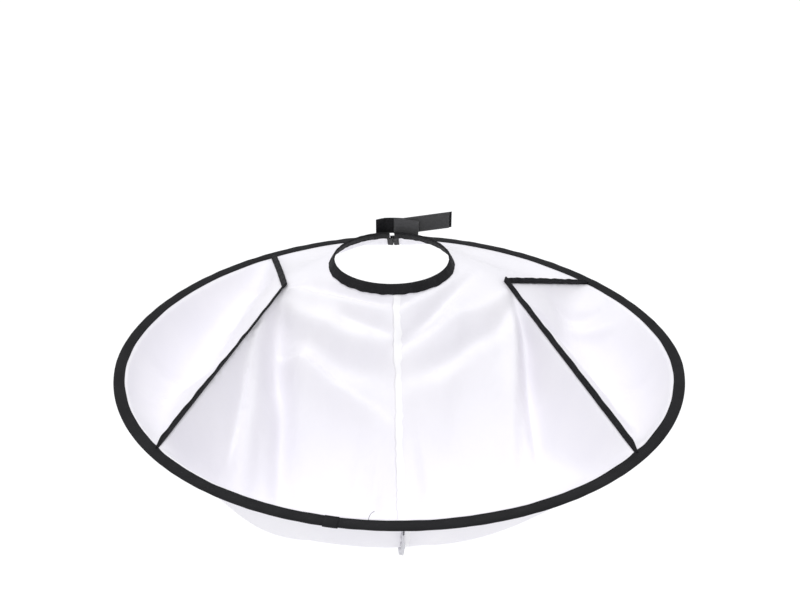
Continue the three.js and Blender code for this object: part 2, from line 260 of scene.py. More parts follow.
class Shading:
    """A node material with one Principled shader, and short ways to add to it."""

    def __init__(self, name, roughness, **constants):
        self.material = bpy.data.materials.new(name)
        self.material.use_nodes = True
        self.nodes = self.material.node_tree.nodes
        self.links = self.material.node_tree.links
        self.shader = self.nodes["Principled BSDF"]
        self.shader.inputs["Roughness"].default_value = roughness
        for socket, value in constants.items():
            self.shader.inputs[socket.replace("_", " ")].default_value = value

    def node(self, kind, inputs=(), **settings):
        made = self.nodes.new(kind)
        for key, value in settings.items():
            setattr(made, key, value)
        for socket, value in dict(inputs).items():
            if isinstance(value, bpy.types.NodeSocket):
                self.links.new(value, made.inputs[socket])
            else:
                made.inputs[socket].default_value = value
        return made

    def coordinates(self, source, scale=(1, 1, 1)):
        texture = self.node("ShaderNodeTexCoord")
        mapping = self.node("ShaderNodeMapping", {"Vector": texture.outputs[source], "Scale": scale})
        return mapping.outputs["Vector"]

    def noise(self, vector, scale, detail=3.0, roughness=0.5):
        inputs = {"Vector": vector, "Scale": scale, "Detail": detail, "Roughness": roughness}
        return self.node("ShaderNodeTexNoise", inputs).outputs["Fac"]

    def wave(self, vector, scale, direction, distortion=0.0):
        inputs = {"Vector": vector, "Scale": scale, "Distortion": distortion, "Detail": 1.0}
        made = self.node("ShaderNodeTexWave", inputs, bands_direction=direction)
        return made.outputs["Fac"]

    def maths(self, operation, a, b=0.0, c=0.0):
        return self.node("ShaderNodeMath", {0: a, 1: b, 2: c}, operation=operation).outputs[0]

    def mix(self, share, a, b):
        """The colour a where share is 0, and b where it is 1."""
        made = self.node("ShaderNodeMix", {0: share, 6: a, 7: b}, data_type="RGBA")
        return made.outputs[2]

    def ramp(self, value, stops):
        made = self.node("ShaderNodeValToRGB", {"Fac": value})
        elements = made.color_ramp.elements
        for element, (place, colour) in zip(elements, (stops[0], stops[-1])):
            element.position = place
            element.color = (*colour, 1)
        for place, colour in stops[1:-1]:
            elements.new(place).color = (*colour, 1)
        return made.outputs["Color"]

    def base(self, colour):
        self.links.new(colour, self.shader.inputs["Base Color"])

    def bump(self, height, distance, strength=1.0):
        """Adds a layer of bump on top of those before it."""
        inputs = {"Height": height, "Distance": distance, "Strength": strength}
        made = self.node("ShaderNodeBump", inputs)
        before = self.shader.inputs["Normal"]
        if before.is_linked:
            self.links.new(before.links[0].from_socket, made.inputs["Normal"])
        self.links.new(made.outputs["Normal"], before)


def seam_allowance(made, flat):
    """1 on the strip beside the front seam, on the wearer's left, where the cloth lies double. It masks both
    the strip's real ridge and its painted lighter tone.
    """
    top, rim = NECK[:2], on_tape(FRONT_DEG, CLOTH_IN_TAPE)[0, :2]
    slope = (rim[0] - top[0]) / (rim[1] - top[1])
    plan = made.node("ShaderNodeSeparateXYZ", {"Vector": flat}).outputs
    seam = made.maths("MULTIPLY_ADD", plan["Y"], slope, top[0] - slope * top[1])
    beside = made.maths("SUBTRACT", plan["X"], seam)
    half = SEAM_ALLOWANCE / 2
    strip = made.maths("COMPARE", beside, half, half)
    return made.maths("MULTIPLY", strip, made.maths("LESS_THAN", plan["Y"], top[1]))


def cloth_material():
    """White taffeta: a tight plain weave with a soft shine and fine crinkles."""
    made = Shading("white_taffeta", 0.6, Sheen_Weight=0.15, Sheen_Roughness=0.5, Specular_IOR_Level=0.25)
    flat = made.coordinates("UV")
    blotches = made.noise(flat, 9.0, 4.0)
    single = made.ramp(blotches, [(0.35, (0.845, 0.832, 0.88)), (0.65, (0.876, 0.862, 0.9))])
    doubled_and_painted_light = seam_allowance(made, flat)
    # Painted light: the doubled strip is coloured whiter, for the shade beneath that shows less through two
    # layers of cloth.
    made.base(made.mix(doubled_and_painted_light, single, (0.95, 0.945, 0.96, 1)))
    made.bump(doubled_and_painted_light, 0.5 * MM, 0.6)
    crinkle = made.noise(flat, 55.0, 4.0, 0.6)
    made.bump(crinkle, 0.6 * MM, 0.35)
    warp = made.wave(flat, 380.0, "X", 0.6)
    weft = made.wave(flat, 380.0, "Y", 0.6)
    made.bump(made.maths("MULTIPLY", warp, weft), 0.05 * MM, 0.3)
    return made.material


def tape_material(name, dark, light, rib=420.0):
    """Ribbed woven tape, a little uneven in tone."""
    made = Shading(name, 0.72, Specular_IOR_Level=0.25)
    along = made.coordinates("UV")
    ribs = made.wave(along, rib, "X", 0.3)
    across = made.wave(along, rib * 0.8, "Y", 0.4)
    fuzz = made.noise(along, 900.0, 2.0)
    tone = made.maths("MULTIPLY", made.noise(along, 30.0, 5.0), made.maths("ADD", ribs, 0.6))
    made.base(made.ramp(tone, [(0.2, dark), (0.95, light)]))
    made.bump(made.maths("MULTIPLY", ribs, made.maths("ADD", across, 0.5)), 0.12 * MM, 0.7)
    made.bump(fuzz, 0.06 * MM, 0.4)
    return made.material


def pile_material(name, dark, light):
    """The felted face of hook-and-loop tape."""
    made = Shading(name, 0.9, Sheen_Weight=0.5, Sheen_Roughness=0.6)
    flat = made.coordinates("Object")
    clumps = made.noise(flat, 1400.0, 3.0, 0.7)
    made.base(made.ramp(clumps, [(0.3, dark), (0.75, light)]))
    made.bump(clumps, 0.3 * MM, 0.8)
    return made.material


def steel_material():
    """Drawn spring wire with faint lengthwise scratches."""
    made = Shading("spring_steel", 0.32, Metallic=1.0)
    along = made.coordinates("UV", (8, 600, 1))
    streaks = made.noise(along, 6.0, 4.0)
    made.base(made.ramp(streaks, [(0.3, (0.42, 0.43, 0.45)), (0.7, (0.62, 0.63, 0.66))]))
    made.bump(streaks, 0.01 * MM, 0.5)
    return made.material


CLOTH = cloth_material()
BLACK_TAPE = tape_material("black_tape", (0.003, 0.003, 0.004), (0.014, 0.014, 0.016))
WHITE_TAPE = tape_material("white_edging", (0.62, 0.62, 0.66), (0.8, 0.8, 0.83))
THREAD = tape_material("black_thread", (0.008, 0.008, 0.01), (0.05, 0.05, 0.055), 900.0)
WHITE_THREAD = tape_material("white_thread", (0.7, 0.7, 0.73), (0.85, 0.85, 0.87), 900.0)
HOOK_FACE = pile_material("hook_face", (0.004, 0.004, 0.005), (0.03, 0.03, 0.033))
LOOP_FACE = pile_material("loop_face", (0.006, 0.006, 0.008), (0.05, 0.05, 0.055))
STEEL = steel_material()

# ---------------------------------------------------------------- meshes


def added(name, data):
    """A new object in the scene."""
    made = bpy.data.objects.new(name, data)
    bpy.context.scene.collection.objects.link(made)
    return made


def new_mesh(name, points, faces):
    mesh = bpy.data.meshes.new(name)
    mesh.from_pydata(np.asarray(points).tolist(), [], faces)
    return mesh


def new_piece(name, points, faces, material, uv, body="cape"):
    """A smooth mesh from points round the hoop's centre. uv is one pair for each point."""
    mesh = new_mesh(name, np.asarray(points) - NECK, faces)
    mesh.materials.append(material)
    mesh.polygons.foreach_set("use_smooth", [True] * len(mesh.polygons))
    corner = np.zeros(len(mesh.loops), np.int32)
    mesh.loops.foreach_get("vertex_index", corner)
    layer = mesh.uv_layers.new(name="UVMap")
    layer.data.foreach_set("uv", np.asarray(uv, np.float32)[corner].ravel())
    mesh.validate()
    made = added(name, mesh)
    if body:
        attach(made, body)
    return made


def sweep(rows, ring=False):
    """One closed skin over closed sections, as points, faces and uv: rows[i][j] goes round section i."""
    rows = np.asarray(rows, float)
    count, width = rows.shape[:2]
    bays = count if ring else count - 1
    i, j = np.meshgrid(np.arange(bays), np.arange(width), indexing="ij")
    near, far = i * width, ((i + 1) % count) * width
    beside = (j + 1) % width
    faces = np.stack([near + j, far + j, far + beside, near + beside], axis=-1).reshape(-1, 4).tolist()
    if not ring:
        faces.append(list(range(width)))
        faces.append(list(range(count * width - 1, (count - 1) * width - 1, -1)))
    run = lengths_along(rows.mean(axis=1))
    uv = np.stack(np.meshgrid(run, lengths_along(rows[0]), indexing="ij"), axis=-1).reshape(-1, 2)
    return rows.reshape(-1, 3), faces, uv


def outline(path, thickness):
    """The closed outline of a strip of some thickness that follows an open path in its section's plane."""
    path = np.asarray(path, float)
    ahead = np.vstack([path[1:], path[-1:]]) - np.vstack([path[:1], path[:-1]])
    side = unit(np.stack([-ahead[:, 1], ahead[:, 0]], axis=1)) * thickness / 2
    return np.vstack([path + side, (path - side)[::-1]])


def circle(radius, count):
    """The outline of a round section."""
    turns = np.linspace(0, 2 * np.pi, count + 1)[:-1]
    return np.stack([np.cos(turns), np.sin(turns)], axis=1) * radius


def folded_path(leg, bend):
    """The path of a tape folded in two: in along one leg, round the bend, and out along the other."""
    return np.array([*leg, bend, *[(x, -y) for x, y in reversed(leg)]])


def place(outline_2d, centres, first, second):
    """Sections: an outline's two numbers go along the directions first and second at each centre."""
    shape = np.asarray(outline_2d, float)
    if shape.ndim == 2:
        shape = np.broadcast_to(shape, (len(centres), *shape.shape))
    return centres[:, None] + shape[..., :1] * first[:, None] + shape[..., 1:2] * second[:, None]


def swept(name, rows, material, ring=False, body="cape"):
    points, faces, uv = sweep(rows, ring)
    return new_piece(name, points, faces, material, uv, body)


def joined(parts):
    """Several (points, faces, uv) as one."""
    points, faces, uv, first = [], [], [], 0
    for some_points, some_faces, some_uv in parts:
        points.append(some_points)
        faces.extend([[first + v for v in face] for face in some_faces])
        uv.append(some_uv)
        first += len(some_points)
    return np.vstack(points), faces, np.vstack(uv)


STITCH = {"length": 2.6 * MM, "gap": 0.9 * MM, "radius": 0.22 * MM, "proud": 0.12 * MM}


def stitches(line, normals):
    """A row of sewn stitches along a line, each sinking into the cloth at both ends."""
    step = STITCH["length"] + STITCH["gap"]
    run = lengths_along(line)
    parts = []
    ring = circle(STITCH["radius"], 5)
    shares = np.array([0, 0.15, 0.5, 0.85, 1])
    swell = np.array([0.35, 0.9, 1, 0.9, 0.35])
    lift = np.array([-0.8, 0.6, 1, 0.6, -0.8]) * STITCH["proud"]
    for start in np.arange(step / 2, run[-1] - step, step):
        at = start + shares * STITCH["length"]
        centre = resampled(line, run, at)
        up = unit(resampled(normals, run, at))
        side = unit(np.cross(centre[-1] - centre[0], up[2]))
        centre = centre + up * lift[:, None]
        rows = place(ring[None] * swell[:, None, None], centre, np.broadcast_to(side, up.shape), up)
        parts.append(sweep(rows))
    return joined(parts)


def sewn(name, rows, thread=THREAD, slot="black_tape"):
    """Rows of stitches as one piece. Each row is a line and the normals of the face it is sewn on."""
    points, faces, uv = joined([stitches(line, normals) for line, normals in rows])
    new_piece(name, points, faces, thread, uv)


# ---------------------------------------------------------------- the hoop's tape and wire


def hoop_section(step, reach):
    """Outline of the folded tape's section: (inward, up) from the wire's centre."""
    fold = TAPE_FOLD_RADIUS + step
    tip = TAPE_TIP_HALF + step
    turns = np.radians(np.linspace(90, -90, 9))
    bend = np.stack([-fold * np.cos(turns), fold * np.sin(turns)], axis=1)
    legs = []
    for inward in (reach, reach - 1.5 * MM, reach - 2.6 * MM, reach * 0.55, reach * 0.25):
        share = inward / reach
        sewn = 1 - 0.35 * math.exp(-((inward - reach + TAPE_SEWN_AT) / (1.2 * MM)) ** 2)
        legs.append((inward, (fold + (tip - fold) * share) * sewn))
    top = np.array(legs)
    low = top[::-1] * (1, -1)
    return outline(np.vstack([top, bend, low]), TAPE_THICKNESS)


def tape_wander(angle):
    """Small unevenness in how far the tape reaches inward, with kinks where the seams come in."""
    turn = np.radians(angle)
    wander = 0.25 * np.sin(9 * turn + 1) + 0.2 * np.sin(23 * turn) + 0.15 * np.sin(41 * turn + 2)
    for side in SIDES.values():
        for corner in (side["front"], side["back"]):
            away = (angle - corner + 180) % 360 - 180
            wander = wander + 0.9 * np.exp(-((away / 1.6) ** 2)) - 0.5 * np.exp(-(((away - 3.5) / 2) ** 2))
    return wander * MM


def hoop_rows(angles, step=0.0):
    _, inward, square = hoop_frame(angles)
    shape = np.array([hoop_section(step, TAPE_REACH + wander) for wander in tape_wander(angles)])
    ripple = 1 + 0.06 * np.sin(np.radians(angles) * 57) + 0.05 * np.sin(np.radians(angles) * 91 + 1)
    shape[..., 1] *= ripple[:, None]
    return place(shape, hoop_point(angles), inward, square)


def make_hoop_tape():
    angles = np.linspace(0, 360, HOOP_STATIONS, endpoint=False)
    tape = swept("rim_tape", hoop_rows(angles), BLACK_TAPE, ring=True)
    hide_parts("rim_binding")
    lap_angles = np.linspace(JOIN_DEG - JOIN_HALF_DEG, JOIN_DEG + JOIN_HALF_DEG, 13)
    lap = swept("rim_tape_lap", hoop_rows(lap_angles, JOIN_STEP), BLACK_TAPE)
    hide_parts("rim_binding_join")
    angles = np.linspace(0, 360, 2 * HOOP_STATIONS + 1)
    _, _, square = hoop_frame(angles)
    wander = tape_wander(angles)
    rows = []
    for side in (1, -1):
        height = side * (TAPE_TIP_HALF * 0.75 + TAPE_THICKNESS / 2)
        line = on_tape(angles, TAPE_REACH + wander - TAPE_SEWN_AT, height)
        rows.append((line, square * side))
    sewn("rim_stitching", rows)


def make_loose_thread():
    """An end of the hoop's sewing thread that was left standing, on the wearer's right of the front seam."""
    root = on_tape(LOOSE_THREAD_DEG, TAPE_REACH - 1 * MM, TAPE_TIP_HALF + TAPE_THICKNESS / 2)[0]
    knots = root + np.array([(0, 0, -0.3), (1, 3, 2.5), (3.5, 6, 5), (7, 8, 6.5)]) * MM
    line = spline(knots, 25)
    section = circle(STITCH["radius"] * 1.2, 6)
    along = unit(np.gradient(line, axis=0))
    across = unit(np.cross(along, UP))
    swept("loose_thread", place(section, line, across, np.cross(across, along)), THREAD)


def make_wire():
    angles = np.linspace(JOIN_DEG + WIRE_GAP_DEG, JOIN_DEG + 360 - WIRE_GAP_DEG, HOOP_STATIONS)
    _, inward, square = hoop_frame(angles)
    rows = place(circle(WIRE_RADIUS, 10), hoop_point(angles), inward, square)
    wire = swept("spring_wire", rows, STEEL)
    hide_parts("rim_wire")
    angles = np.linspace(JOIN_DEG - FERRULE_HALF_DEG, JOIN_DEG + FERRULE_HALF_DEG, 33)
    _, inward, square = hoop_frame(angles)
    crimp = 1 - 0.1 * np.exp(-(((angles - JOIN_DEG - 1) / 0.25) ** 2))
    crimp -= 0.1 * np.exp(-(((angles - JOIN_DEG + 1) / 0.25) ** 2))
    shape = circle(FERRULE_RADIUS, 10) * crimp[:, None, None]
    ferrule = swept("wire_ferrule", place(shape, hoop_point(angles), inward, square), STEEL)
    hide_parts("rim_wire_ferrule")


# ---------------------------------------------------------------- the cloth's shape


def droop(s, rise, fall):
    """A hanging profile: 0 at both ends and 1 at its lowest place."""
    lowest = rise / (rise + fall)
    s = np.clip(s, 0, 1)
    return (s / lowest) ** rise * ((1 - s) / (1 - lowest)) ** fall


def seam_ends(side, which):
    return SIDES[side]["apex"], mouth(SIDES[side][which])[0]


def gusset_halves(name, phi, angle):
    """A gusset's front and back seams, each with the directions in which the gusset is behind it."""
    side = SIDES[name]
    if name == "right":
        inside = (angle > side["back"]) & (angle < side["front"])
    else:
        inside = (angle < side["back"]) | (angle > side["front"])
    behind = np.sin(phi) > np.sin(bearing(side["apex"])[0])
    return [("front", inside & ~behind), ("back", inside & behind)]


def seam_reach(phi, p, q):
    """How far rays from the collar's centre go in plan to the line from p to q, and its height there."""
    run = q - p
    start = p - NECK
    reach = (start[0] * run[1] - start[1] * run[0]) / (np.cos(phi) * run[1] - np.sin(phi) * run[0])
    across = np.stack([NECK[0] + reach * np.cos(phi), NECK[1] + reach * np.sin(phi)], axis=1)
    share = np.linalg.norm(across - p[:2], axis=1) / np.linalg.norm(run[:2])
    return reach, p[2] + run[2] * share


def height_of(points):
    """Height of the hanging cloth over points in plan, from the collar's lower edge to the hoop's tape."""
    phi = bearing(points)
    reach = reach_of(points)
    angle = hoop_angle(phi)
    edge = mouth(angle)
    far, far_z = reach_of(edge), edge[:, 2]
    low = oval_point(COLLAR_LOW, phi)
    near, near_z = reach_of(low), low[:, 2]
    share = np.abs(angle - FRONT_DEG) / HALF_FRONT_DEG
    in_front = angle > 180
    fullness = np.where(angle < FRONT_DEG, FRONT_FULLNESS_RIGHT, FRONT_FULLNESS_LEFT)
    sag = np.where(in_front, FRONT_SAG - (FRONT_SAG - FRONT_SAG_AT_SEAM) * share**fullness, BACK_SAG)
    outer, outer_z = far.copy(), far_z.copy()
    gusset = np.zeros(len(points), bool)
    z_gusset = np.zeros(len(points))
    for name, side in SIDES.items():
        if name == "right":
            along = (angle - side["back"]) / (side["front"] - side["back"])
        else:
            span = side["back"] + 360 - side["front"]
            along = 1 - ((angle - side["front"]) % 360) / span
        to_apex = bearing(side["apex"])[0]
        for which, chosen in gusset_halves(name, phi, angle):
            p, q = seam_ends(name, which)
            to_corner = bearing(q)[0]
            turned = np.abs((phi - to_corner + np.pi) % (2 * np.pi) - np.pi)
            whole = np.abs((to_apex - to_corner + np.pi) % (2 * np.pi) - np.pi)
            part = np.clip(turned / whole, 0, 1)
            seam, seam_z = seam_reach(phi, p, q)
            depth = FRONT_SAG_AT_SEAM * (1 - part) ** 1.5 if which == "front" else BACK_SAG * (1 - part)
            sag = np.where(chosen, depth, sag)
            outer = np.where(chosen, seam, outer)
            outer_z = np.where(chosen, seam_z, outer_z)
            beyond = chosen & (reach > seam)
            s = (reach - seam) / np.maximum(far - seam, 1e-6)
            bowl = GUSSET_SAG * np.sin(np.pi * np.clip(along, 0, 1)) ** 0.8
            z_here = seam_z + (far_z - seam_z) * s - bowl * droop(s, 1.3, 1.1)
            z_gusset = np.where(beyond, z_here, z_gusset)
            gusset |= beyond
    s = (reach - near) / np.maximum(outer - near, 1e-6)
    z_body = near_z + (outer_z - near_z) * s - sag * droop(s, 2.2, 1.1)
    z = np.where(gusset, z_gusset, z_body)
    rim = on_tape(angle, CLOTH_IN_TAPE)
    _, rim_reach = edge_reaches(points)
    into_tape = np.clip((reach - far) / (rim_reach - far), 0, 1)
    return np.where(reach > far, far_z + (rim[:, 2] - far_z) * into_tape, z)


# The cloth's folds. Each says how high it stands (a valley is less than 0) and how far it spreads to the
# left and to the right of its line, in millimetres. The rest places it by the cape's own seams and hoop.

# Cowl folds, hung between the shoulder and the front seam: where they start (0 at the shoulder, -1 at
# the collar and 1 where the side seam meets the hoop), how far below the collar they reach the front
# seam and how far they sag forward, in millimetres, and the share of their way that is left out at the
# shoulder. Their lines run from the wearer's right to the left.
COWL = {
    "right": [(-8, 9, 6, -0.3, 10, 10, 0), (3, 5, 7, -0.15, 25, 15, 0), (-6, 7, 5, 0, 45, 15, 0.5),
              (5, 8, 9, 0.05, 60, 25, 0), (-10, 12, 16, 0.1, 85, 25, 0), (6, 5, 16, 0.2, 130, 15, 0)],
    "left": [(-7, 6, 8, -0.8, 10, 10, 0), (3, 5, 6, -0.7, 30, 10, 0), (-8, 6, 8, -0.6, 55, 15, 0),
             (-7, 6, 7, -0.1, 60, 20, 0.5), (4, 6, 8, 0.05, 60, 15, 0), (-9, 9, 14, 0.1, 85, 25, 0)],
}

COWL_KNOTS = 9

# Folds where the cloth leaves the chest: where they start on the side seam, the hoop's angle that they
# point to, and the share of the way to it that they go. Their lines run back from there to the seam.
CHEST = {
    "right": [(-22, 13, 20, 0.05, 246, 0.65), (11, 14, 10, 0.15, 234, 0.65), (-7, 12, 4, 0.25, 226, 0.6)],
    "left": [(9, 18, 8, 0.1, 292, 0.65), (-21, 9, 22, 0.1, 304, 0.6)],
}

# Folds along rays from the neck: the hoop's angle, and where they start and stop on the ray.
RAYS = [
    # Slack down the front.
    (-3, 9, 9, 256, 0.4, 0.7), (3, 8, 8, 263, 0.4, 0.7),
    (-3, 9, 9, 282, 0.35, 0.6), (3, 8, 8, 277, 0.4, 0.65),
    # The gussets.
    (-9, 6, 7, 15, 0.35, 0.6), (-5, 6, 6, 30, 0.6, 0.9), (4, 6, 6, 24, 0.6, 0.9), (-5, 8, 8, 2, 0.6, 0.9),
    (-5, 7, 8, 172, 0.6, 0.9), (3, 5, 6, 186, 0.7, 0.9), (-6, 8, 8, 135, 0.5, 0.8), (4, 9, 9, 155, 0.4, 0.75),
]

# Short puckers that fan out from the right shoulder to the collar: their turn from the way to the collar.
PUCKERS = [(2, 3, 3, -25), (-3, 3, 3, -10), (2, 3, 3, 5)]
PUCKER_LENGTH = 30 * MM
BULGE = (-13, 34, 30)  # the bag hangs fuller at the right front
BULGE_DEG = (215, 232, 249)
BULGE_SHARE = 0.75


def between(a, b, share):
    return a + (b - a) * share


def on_shoulder(side, share):
    """In plan: 0 is the shoulder, -1 the collar, and 1 where the front side seam meets the hoop."""
    apex, corner = (end[:2] for end in seam_ends(side, "front"))
    collar = oval_point(COLLAR_LOW, bearing(apex[None])[0])[0, :2]
    return between(apex, corner, share) if share > 0 else between(apex, collar, -share)


def on_ray(angle, share):
    return between(*radial(angle), share)


def fold_lines():
    """Every fold as its height, its two widths and its knots in plan."""
    top, rim = radial(FRONT_DEG)
    lines = []
    for side, folds in COWL.items():
        for *shape, shoulder, below, sag, left_out in folds:
            start = on_shoulder(side, shoulder)
            end = top + unit(rim - top) * (COLLAR_HEM + below * MM)
            middle = between(start, end, 0.5) - (0, sag * MM)
            knots = spline([start, middle, end], COWL_KNOTS)[int(COWL_KNOTS * left_out):]
            lines.append((*shape, knots if side == "right" else knots[::-1]))
    for side, folds in CHEST.items():
        for *shape, seam, angle, reach in folds:
            start = on_shoulder(side, seam)
            end = between(start, mouth(angle)[0, :2], reach)
            lines.append((*shape, np.array([end, between(start, end, 0.5), start])))
    for *shape, angle, first, last in RAYS:
        lines.append((*shape, np.array([on_ray(angle, first), on_ray(angle, last)])))
    apex = on_shoulder("right", 0)
    to_collar = bearing(apex[None])[0] + math.pi
    for *shape, turn in PUCKERS:
        way = to_collar + math.radians(turn)
        end = apex + np.array((math.cos(way), math.sin(way))) * PUCKER_LENGTH
        lines.append((*shape, np.array([apex, end])))
    lines.append((*BULGE, np.array([on_ray(angle, BULGE_SHARE) for angle in BULGE_DEG])))
    return lines


FOLD_GAIN = 1.5  # on every fold's height
FOLD_STATIONS = 24
FOLD_CLEAR = 9 * MM  # the folds fade out over this distance from the tapes that hold the cloth


def fold_height(flat):
    """What the folds add to the height of the cloth, at points in plan."""
    total = np.zeros(len(flat))
    for height, left, right, knots in fold_lines():
        line = spline(knots, FOLD_STATIONS)
        nearest = np.full(len(flat), np.inf)
        offset = np.zeros(len(flat))
        along = np.zeros(len(flat))
        for k in range(len(line) - 1):
            run = line[k + 1] - line[k]
            away = flat - line[k]
            t = np.clip(away @ run / (run @ run), 0, 1)
            gap = away - t[:, None] * run
            distance = np.hypot(gap[:, 0], gap[:, 1])
            side = np.sign(run[0] * away[:, 1] - run[1] * away[:, 0])
            closer = distance < nearest
            nearest = np.where(closer, distance, nearest)
            offset = np.where(closer, side * distance, offset)
            along = np.where(closer, (k + t) / (len(line) - 1), along)
        width = np.where(offset > 0, left, right) * MM
        taper = np.sin(np.pi * np.clip(along, 0.02, 0.98)) ** 0.6
        total += FOLD_GAIN * height * MM * taper * np.exp(-((offset / width) ** 2))
    return total


def lift_cloth(flat):
    """Points of the cloth from points of its flat plan, where the collar's band is laid out flat."""
    phi = bearing(flat)
    reach = reach_of(flat)
    near = reach_of(oval_point(COLLAR_LOW, phi))
    fold, down, depth, _ = collar_frame(phi)
    outside = np.column_stack([flat, height_of(flat)])
    band = fold + down * (depth - (near - reach))[:, None]
    return np.where((reach < near)[:, None], band, outside)


# ---------------------------------------------------------------- the cloth's mesh


def even(line, step):
    """Points at even steps along a line, in plan."""
    line = np.asarray(line)[:, :2]
    run = lengths_along(line)
    at = np.linspace(0, run[-1], max(2, int(round(run[-1] / step)) + 1))
    return resampled(line, run, at)


def even_ring(line):
    """The same for a line that goes on from its last point to its first."""
    return even(np.vstack([line, line[:1]]), CLOTH_GRID)[:-1]


def hem_of(low):
    """Points of the cloth's hem in the collar's tape, in plan, from points of the tape's lower edge."""
    return low - unit(low - NECK[:2]) * COLLAR_HEM


def radial(angle, shift=0.0):
    """The line in plan from the collar's hem out to the cloth's edge in the hoop's tape."""
    end = on_tape(angle, CLOTH_IN_TAPE)[0, :2]
    phi = bearing(end[None])[0]
    low = oval_point(COLLAR_LOW, phi)[0, :2]
    return np.array([hem_of(low), end]) + (shift, 0)


def beside(points, angle):
    """Distances of points in X from the line in plan at one angle of the hoop."""
    a, b = radial(angle)
    share = (points[:, 1] - a[1]) / (b[1] - a[1])
    return points[:, 0] - (a[0] + (b[0] - a[0]) * share)


FINE_BESIDE_SEAM = 2 * MM  # a row of points keeps the cloth crisp this far from the front seam


def cloth_plan():
    """Triangles of the whole cloth laid out in plan, with an edge along each seam."""
    ring = np.linspace(0, 360, 721)[:-1]
    low = oval_point(COLLAR_LOW, np.radians(ring))[:, :2]
    rings = [on_tape(ring, CLOTH_IN_TAPE), mouth(ring), hem_of(low), low]
    closed = [even_ring(line) for line in rings]
    beside_seam = (0, FINE_BESIDE_SEAM, SEAM_ALLOWANCE)
    opened = [even(radial(FRONT_DEG, shift), CLOTH_GRID) for shift in beside_seam]
    opened += [even(radial(BACK_DEG, shift), CLOTH_GRID) for shift in (-SLIT_HALF, SLIT_HALF)]
    for side in SIDES.values():
        for which in ("front", "back"):
            edge = on_tape(side[which], CLOTH_IN_TAPE)[0]
            opened.append(even([side["apex"], mouth(side[which])[0], edge], CLOTH_GRID))
    points = np.vstack(closed + opened)
    edges, first = [], 0
    for line in closed:
        edges += [(first + i, first + (i + 1) % len(line)) for i in range(len(line))]
        first += len(line)
    for line in opened:
        edges += [(first + i, first + i + 1) for i in range(len(line) - 1)]
        first += len(line)
    filled = grid_inside(points)
    everything = [Vector(p) for p in np.vstack([points, filled])]
    found = delaunay_2d_cdt(everything, edges, [], 0, 1e-6)
    flat = np.array([tuple(v) for v in found[0]])
    faces = np.array([f for f in found[2] if len(f) == 3])
    return flat, faces


def edge_reaches(points):
    """How far the cloth's hem and its outer edge are from the collar's centre, towards these points."""
    phi = bearing(points)
    hem = reach_of(oval_point(COLLAR_LOW, phi)) - COLLAR_HEM
    table = on_tape(ROUND, CLOTH_IN_TAPE)
    turn = np.unwrap(bearing(table))
    outer = np.interp((phi - turn[0]) % (2 * np.pi) + turn[0], turn, reach_of(table))
    return hem, outer


def distances(points, targets):
    """How far each point in plan is from the nearest of the targets."""
    tree = KDTree(len(targets))
    for i, target in enumerate(targets):
        tree.insert((*target, 0), i)
    tree.balance()
    return np.array([tree.find((*point, 0))[2] for point in points])


def grid_inside(lines):
    """A slightly uneven triangular grid over the cloth that keeps off the lines."""
    across = np.arange(-HOOP_HALF_WIDTH, HOOP_HALF_WIDTH, CLOTH_GRID)
    rows = np.arange(-HOOP_HALF_DEPTH, HOOP_HALF_DEPTH, CLOTH_GRID * math.sqrt(3) / 2)
    x, y = np.meshgrid(across, rows)
    x = x + CLOTH_GRID / 2 * (np.arange(len(rows)) % 2)[:, None]
    grid = np.stack([x.ravel(), y.ravel()], axis=1)
    grid += rng.normal(0, CLOTH_GRID * 0.08, grid.shape)
    hem, outer = edge_reaches(grid)
    grid = grid[(reach_of(grid) > hem) & (reach_of(grid) < outer)]
    return grid[distances(grid, lines) > 0.62 * CLOTH_GRID]


def panel_of(points):
    """Which panel each point in plan is on: 0 and 1 the body's right and left, 2 and 3 the gussets."""
    phi = bearing(points)
    angle = hoop_angle(phi)
    reach = reach_of(points)
    in_front = points[:, 1] < NECK[1]
    right = np.where(in_front, beside(points, FRONT_DEG) < 0, beside(points, BACK_DEG) < 0)
    panel = np.where(right, 0, 1)
    for k, name in enumerate(SIDES):
        for which, chosen in gusset_halves(name, phi, angle):
            seam, _ = seam_reach(phi, *seam_ends(name, which))
            panel = np.where(chosen & (reach > seam), 2 + k, panel)
    return panel


def trimmed(flat, faces):
    """Only the triangles that are cloth, and the points that they use."""
    middle = flat[faces].mean(axis=1)
    hem, outer = edge_reaches(middle)
    reach = reach_of(middle)
    in_slit = (middle[:, 1] > NECK[1]) & (np.abs(beside(middle, BACK_DEG)) < SLIT_HALF)
    faces = faces[(reach > hem) & (reach < outer) & ~in_slit]
    used, faces = np.unique(faces, return_inverse=True)
    return flat[used], faces.reshape(-1, 3)


def part_mesh(points, uv, faces, chosen):
    """The chosen faces and their own points."""
    used, kept = np.unique(faces[chosen], return_inverse=True)
    return points[used], uv[used], kept.reshape(-1, 3)


def finish_cloth(name, points, uv, faces, node):
    cloth = new_piece(name, points, faces.tolist(), CLOTH, uv, body=None)
    thick = cloth.modifiers.new("thickness", "SOLIDIFY")
    thick.thickness = CLOTH_THICKNESS
    thick.offset = 0
    with bpy.context.temp_override(object=cloth, active_object=cloth, selected_objects=[cloth]):
        bpy.ops.object.modifier_apply(modifier=thick.name)
    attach(cloth, "cape")
    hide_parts(node)


# ---------------------------------------------------------------- the drape over the wearer

# The wearer's neck, shoulders and chest, as ovals: height, half width, half depth and middle in Y, all
# in millimetres. They only hold the cloth up while it settles, and aren't part of the object.
WEARER = [
    (118, 50, 46, 119),
    (84, 60, 52, 119),
    (66, 92, 62, 119),
    (52, 128, 74, 117),
    (34, 165, 88, 112),
    (6, 196, 104, 104),
    (-40, 208, 120, 96),
    (-90, 204, 130, 92),
    (-140, 190, 124, 96),
    (-240, 170, 110, 100),
]


